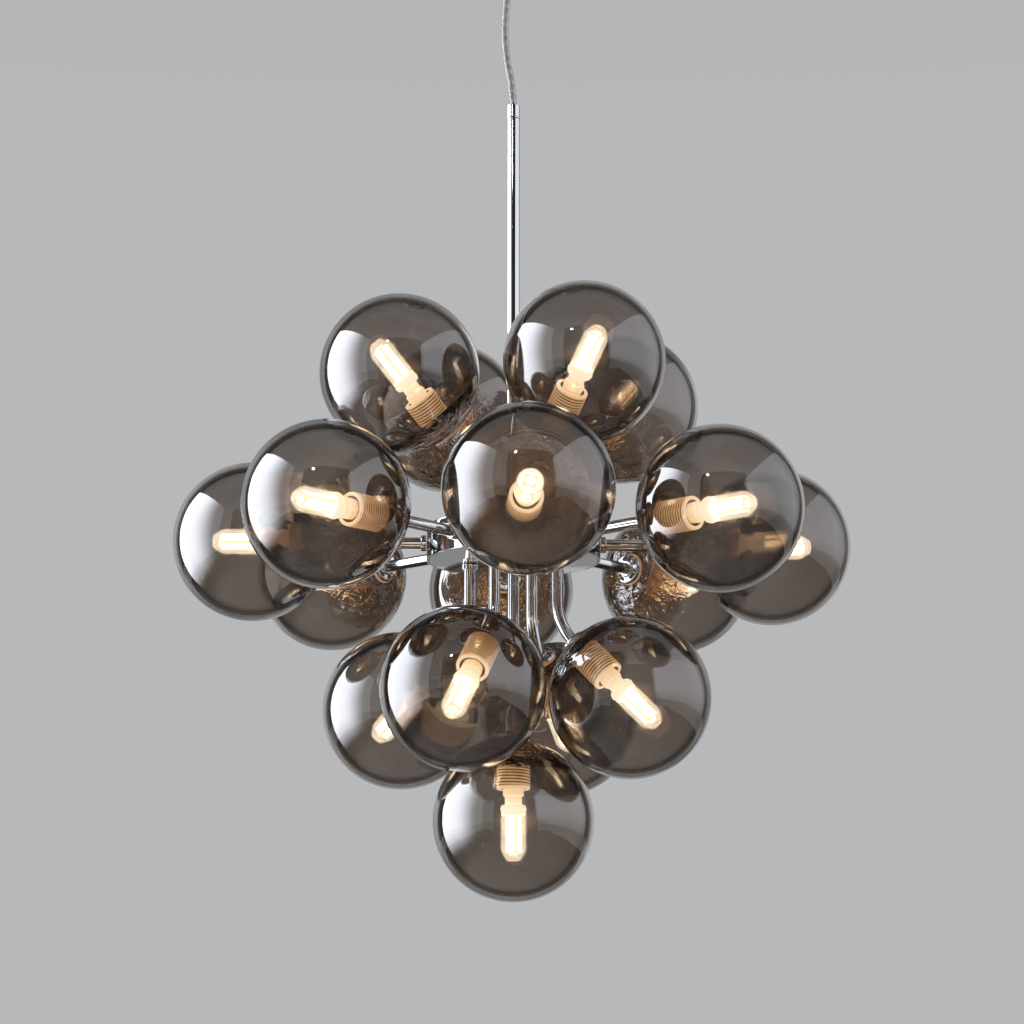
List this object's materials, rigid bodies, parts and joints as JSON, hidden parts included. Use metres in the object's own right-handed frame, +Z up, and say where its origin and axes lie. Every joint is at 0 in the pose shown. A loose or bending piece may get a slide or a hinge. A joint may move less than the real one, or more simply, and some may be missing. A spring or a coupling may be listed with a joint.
{
  "type": "bubble chandelier",
  "caption": "Cluster chandelier of smoked glass globes on chrome arms round a drum hub, each lit by a capsule lamp, hung from a ceiling canopy by a stem and a clear cable.",
  "frame": {"origin": "centre of the ceiling bracket's upper face, where the light meets the ceiling", "axes": "+Z up along the stem; -Y is the front, where the first globe of the middle ring points; +X to the viewer's right"},
  "size_m": [0.514, 0.514, 0.809],
  "materials": {
    "chrome_arm": "polished chrome tube with a tan plastic screw lampholder at its end",
    "chrome_sheet": "mirror polished chrome",
    "chrome_turned": "turned and polished chrome",
    "smoked_glass": "clear smoked grey-brown blown glass, half mirrored by its thickness",
    "lamp_cover": "clear capsule over warm LED strips, lit",
    "clear_pvc": "clear flexible PVC over bright strands",
    "zinc_steel": "zinc plated",
    "white_plastic": "moulded"
  },
  "bodies": {
    "ceiling_fitting": {"ceiling_bracket": "zinc_steel", "terminal_block": "white_plastic", "canopy": "chrome_sheet", "cord_grip": "chrome_turned"},
    "cable": {"suspension_cable": "clear_pvc"},
    "pendant": {"stem_cap": "chrome_turned", "stem": "chrome_sheet", "hub_drum": "chrome_sheet", "hub_bottom_plate": "chrome_sheet", "arm_middle_1": "chrome_arm", "arm_middle_2": "chrome_arm", "arm_middle_3": "chrome_arm", "arm_middle_4": "chrome_arm", "arm_middle_5": "chrome_arm", "arm_middle_6": "chrome_arm", "arm_middle_7": "chrome_arm", "arm_middle_8": "chrome_arm", "arm_upper_1": "chrome_arm", "arm_upper_2": "chrome_arm", "arm_upper_3": "chrome_arm", "arm_upper_4": "chrome_arm", "arm_lower_1": "chrome_arm", "arm_lower_2": "chrome_arm", "arm_lower_3": "chrome_arm", "arm_lower_4": "chrome_arm", "arm_bottom": "chrome_arm"},
    "globe_middle_1": {"globe_middle_1": "smoked_glass"},
    "lamp_middle_1": {"lamp_middle_1": "lamp_cover"},
    "globe_middle_2": {"globe_middle_2": "smoked_glass"},
    "lamp_middle_2": {"lamp_middle_2": "lamp_cover"},
    "globe_middle_3": {"globe_middle_3": "smoked_glass"},
    "lamp_middle_3": {"lamp_middle_3": "lamp_cover"},
    "globe_middle_4": {"globe_middle_4": "smoked_glass"},
    "lamp_middle_4": {"lamp_middle_4": "lamp_cover"},
    "globe_middle_5": {"globe_middle_5": "smoked_glass"},
    "lamp_middle_5": {"lamp_middle_5": "lamp_cover"},
    "globe_middle_6": {"globe_middle_6": "smoked_glass"},
    "lamp_middle_6": {"lamp_middle_6": "lamp_cover"},
    "globe_middle_7": {"globe_middle_7": "smoked_glass"},
    "lamp_middle_7": {"lamp_middle_7": "lamp_cover"},
    "globe_middle_8": {"globe_middle_8": "smoked_glass"},
    "lamp_middle_8": {"lamp_middle_8": "lamp_cover"},
    "globe_upper_1": {"globe_upper_1": "smoked_glass"},
    "lamp_upper_1": {"lamp_upper_1": "lamp_cover"},
    "globe_upper_2": {"globe_upper_2": "smoked_glass"},
    "lamp_upper_2": {"lamp_upper_2": "lamp_cover"},
    "globe_upper_3": {"globe_upper_3": "smoked_glass"},
    "lamp_upper_3": {"lamp_upper_3": "lamp_cover"},
    "globe_upper_4": {"globe_upper_4": "smoked_glass"},
    "lamp_upper_4": {"lamp_upper_4": "lamp_cover"},
    "globe_lower_1": {"globe_lower_1": "smoked_glass"},
    "lamp_lower_1": {"lamp_lower_1": "lamp_cover"},
    "globe_lower_2": {"globe_lower_2": "smoked_glass"},
    "lamp_lower_2": {"lamp_lower_2": "lamp_cover"},
    "globe_lower_3": {"globe_lower_3": "smoked_glass"},
    "lamp_lower_3": {"lamp_lower_3": "lamp_cover"},
    "globe_lower_4": {"globe_lower_4": "smoked_glass"},
    "lamp_lower_4": {"lamp_lower_4": "lamp_cover"},
    "globe_bottom": {"globe_bottom": "smoked_glass"},
    "lamp_bottom": {"lamp_bottom": "lamp_cover"}
  },
  "joints": [
    {"name": "cable_swing", "type": "hinge", "parent": "ceiling_fitting", "child": "cable", "pos_m": [0, 0, -0.039], "axis": [0, 1, 0], "range_deg": [-15, 15]},
    {"name": "pendant_swing", "type": "hinge", "parent": "cable", "child": "pendant", "pos_m": [0, 0, -0.1928], "axis": [1, 0, 0], "range_deg": [-15, 15]},
    {"name": "globe_middle_1_off", "type": "slide", "parent": "pendant", "child": "globe_middle_1", "axis": [0, -1, 0], "range_m": [0, 0.095]},
    {"name": "lamp_middle_1_pull", "type": "slide", "parent": "pendant", "child": "lamp_middle_1", "axis": [0, -1, 0], "range_m": [0, 0.012]},
    {"name": "globe_middle_2_off", "type": "slide", "parent": "pendant", "child": "globe_middle_2", "axis": [0.7071, -0.7071, 0], "range_m": [0, 0.095]},
    {"name": "lamp_middle_2_pull", "type": "slide", "parent": "pendant", "child": "lamp_middle_2", "axis": [0.7071, -0.7071, 0], "range_m": [0, 0.012]},
    {"name": "globe_middle_3_off", "type": "slide", "parent": "pendant", "child": "globe_middle_3", "axis": [1, 0, 0], "range_m": [0, 0.095]},
    {"name": "lamp_middle_3_pull", "type": "slide", "parent": "pendant", "child": "lamp_middle_3", "axis": [1, 0, 0], "range_m": [0, 0.012]},
    {"name": "globe_middle_4_off", "type": "slide", "parent": "pendant", "child": "globe_middle_4", "axis": [0.7071, 0.7071, 0], "range_m": [0, 0.095]},
    {"name": "lamp_middle_4_pull", "type": "slide", "parent": "pendant", "child": "lamp_middle_4", "axis": [0.7071, 0.7071, 0], "range_m": [0, 0.012]},
    {"name": "globe_middle_5_off", "type": "slide", "parent": "pendant", "child": "globe_middle_5", "axis": [0, 1, 0], "range_m": [0, 0.095]},
    {"name": "lamp_middle_5_pull", "type": "slide", "parent": "pendant", "child": "lamp_middle_5", "axis": [0, 1, 0], "range_m": [0, 0.012]},
    {"name": "globe_middle_6_off", "type": "slide", "parent": "pendant", "child": "globe_middle_6", "axis": [-0.7071, 0.7071, 0], "range_m": [0, 0.095]},
    {"name": "lamp_middle_6_pull", "type": "slide", "parent": "pendant", "child": "lamp_middle_6", "axis": [-0.7071, 0.7071, 0], "range_m": [0, 0.012]},
    {"name": "globe_middle_7_off", "type": "slide", "parent": "pendant", "child": "globe_middle_7", "axis": [-1, 0, 0], "range_m": [0, 0.095]},
    {"name": "lamp_middle_7_pull", "type": "slide", "parent": "pendant", "child": "lamp_middle_7", "axis": [-1, 0, 0], "range_m": [0, 0.012]},
    {"name": "globe_middle_8_off", "type": "slide", "parent": "pendant", "child": "globe_middle_8", "axis": [-0.7071, -0.7071, 0], "range_m": [0, 0.095]},
    {"name": "lamp_middle_8_pull", "type": "slide", "parent": "pendant", "child": "lamp_middle_8", "axis": [-0.7071, -0.7071, 0], "range_m": [0, 0.012]},
    {"name": "globe_upper_1_off", "type": "slide", "parent": "pendant", "child": "globe_upper_1", "axis": [0.3374, -0.6214, 0.7071], "range_m": [0, 0.095]},
    {"name": "lamp_upper_1_pull", "type": "slide", "parent": "pendant", "child": "lamp_upper_1", "axis": [0.3374, -0.6214, 0.7071], "range_m": [0, 0.012]},
    {"name": "globe_upper_2_off", "type": "slide", "parent": "pendant", "child": "globe_upper_2", "axis": [0.6214, 0.3374, 0.7071], "range_m": [0, 0.095]},
    {"name": "lamp_upper_2_pull", "type": "slide", "parent": "pendant", "child": "lamp_upper_2", "axis": [0.6214, 0.3374, 0.7071], "range_m": [0, 0.012]},
    {"name": "globe_upper_3_off", "type": "slide", "parent": "pendant", "child": "globe_upper_3", "axis": [-0.3374, 0.6214, 0.7071], "range_m": [0, 0.095]},
    {"name": "lamp_upper_3_pull", "type": "slide", "parent": "pendant", "child": "lamp_upper_3", "axis": [-0.3374, 0.6214, 0.7071], "range_m": [0, 0.012]},
    {"name": "globe_upper_4_off", "type": "slide", "parent": "pendant", "child": "globe_upper_4", "axis": [-0.6214, -0.3374, 0.7071], "range_m": [0, 0.095]},
    {"name": "lamp_upper_4_pull", "type": "slide", "parent": "pendant", "child": "lamp_upper_4", "axis": [-0.6214, -0.3374, 0.7071], "range_m": [0, 0.012]},
    {"name": "globe_lower_1_off", "type": "slide", "parent": "pendant", "child": "globe_lower_1", "axis": [-0.31, -0.6355, -0.7071], "range_m": [0, 0.095]},
    {"name": "lamp_lower_1_pull", "type": "slide", "parent": "pendant", "child": "lamp_lower_1", "axis": [-0.31, -0.6355, -0.7071], "range_m": [0, 0.012]},
    {"name": "globe_lower_2_off", "type": "slide", "parent": "pendant", "child": "globe_lower_2", "axis": [0.6355, -0.31, -0.7071], "range_m": [0, 0.095]},
    {"name": "lamp_lower_2_pull", "type": "slide", "parent": "pendant", "child": "lamp_lower_2", "axis": [0.6355, -0.31, -0.7071], "range_m": [0, 0.012]},
    {"name": "globe_lower_3_off", "type": "slide", "parent": "pendant", "child": "globe_lower_3", "axis": [0.31, 0.6355, -0.7071], "range_m": [0, 0.095]},
    {"name": "lamp_lower_3_pull", "type": "slide", "parent": "pendant", "child": "lamp_lower_3", "axis": [0.31, 0.6355, -0.7071], "range_m": [0, 0.012]},
    {"name": "globe_lower_4_off", "type": "slide", "parent": "pendant", "child": "globe_lower_4", "axis": [-0.6355, 0.31, -0.7071], "range_m": [0, 0.095]},
    {"name": "lamp_lower_4_pull", "type": "slide", "parent": "pendant", "child": "lamp_lower_4", "axis": [-0.6355, 0.31, -0.7071], "range_m": [0, 0.012]},
    {"name": "globe_bottom_off", "type": "slide", "parent": "pendant", "child": "globe_bottom", "axis": [0, 0, -1], "range_m": [0, 0.095]},
    {"name": "lamp_bottom_pull", "type": "slide", "parent": "pendant", "child": "lamp_bottom", "axis": [0, 0, -1], "range_m": [0, 0.012]}
  ]
}
